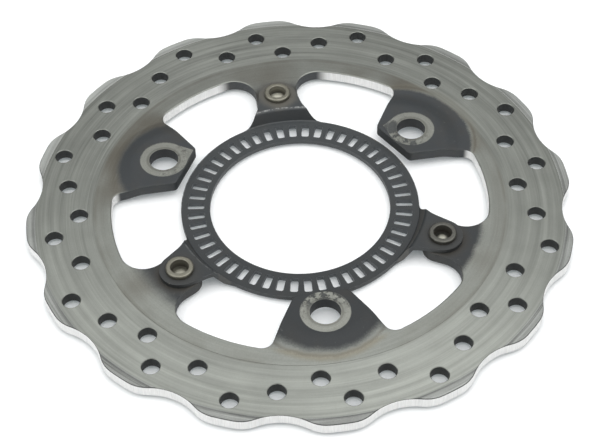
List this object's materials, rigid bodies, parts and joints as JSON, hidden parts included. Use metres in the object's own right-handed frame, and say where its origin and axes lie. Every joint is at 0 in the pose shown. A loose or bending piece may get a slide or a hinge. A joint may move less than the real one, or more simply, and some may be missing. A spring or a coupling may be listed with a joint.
{
  "type": "motorcycle brake disc rotor",
  "caption": "Lobed motorcycle brake disc with a drilled track, raised tabs that bolt to the wheel hub, and a slotted wheel-speed sensor ring riveted inside.",
  "frame": {"origin": "on the wheel axis, in the plane where the mounting tabs' undersides rest on the hub", "axes": "+Z along the wheel axis, outboard, away from the hub; +X 30 degrees from the first hub bolt, +Y through the first rivet"},
  "size_m": [0.22, 0.22, 0.0104],
  "materials": {
    "disc_steel": "stainless brake steel, pad-swept track, dark satin coating inside the track",
    "ring_coating": "charcoal coated sheet steel",
    "rivet_zinc": "zinc plated steel, weathered"
  },
  "bodies": {
    "root": {"brake_disc": "disc_steel", "tone_ring": "ring_coating", "rivet_1": "rivet_zinc", "rivet_2": "rivet_zinc", "rivet_3": "rivet_zinc"}
  },
  "joints": []
}
